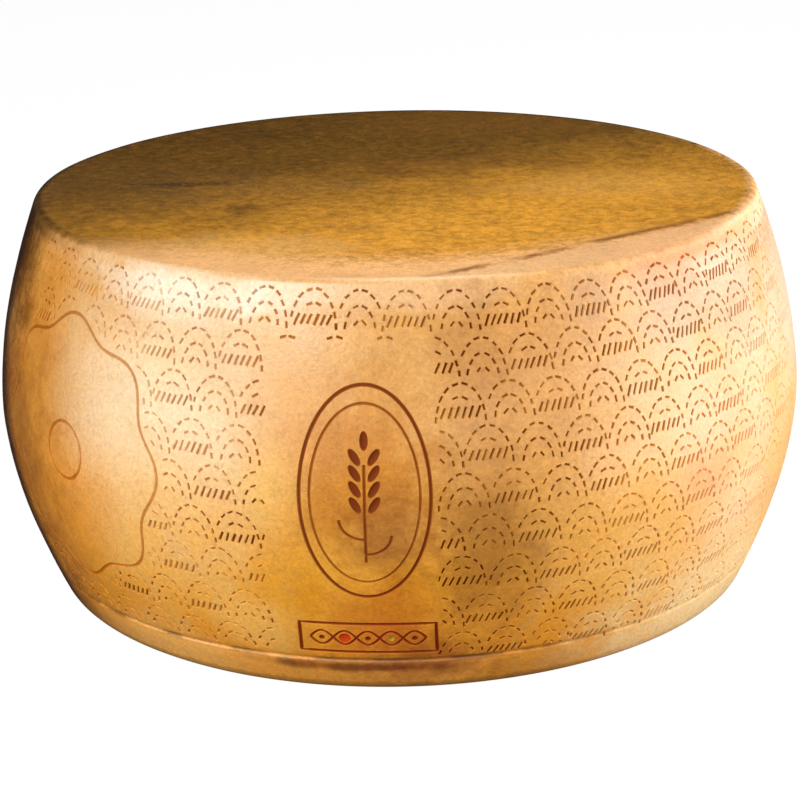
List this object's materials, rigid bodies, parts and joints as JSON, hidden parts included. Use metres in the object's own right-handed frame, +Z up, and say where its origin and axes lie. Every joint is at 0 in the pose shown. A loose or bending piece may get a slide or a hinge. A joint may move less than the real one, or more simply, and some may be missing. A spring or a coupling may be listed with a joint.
{
  "type": "aged hard cheese wheel",
  "caption": "Whole barrel-sided wheel of aged hard cheese with flat faces, a pressed seal, a date frame and a side medallion.",
  "frame": {"origin": "centre of the flat face that the wheel rests on", "axes": "+Z up along the wheel's axis, -Y towards the front with its seal, +X to the right as seen from the front"},
  "size_m": [0.4392, 0.4424, 0.213],
  "materials": {
    "rind": "hard waxy cheese rind: golden straw to orange, browner on the top face, with brown pressed marks and a soft sheen"
  },
  "bodies": {
    "root": {"wheel": "rind"}
  },
  "joints": []
}
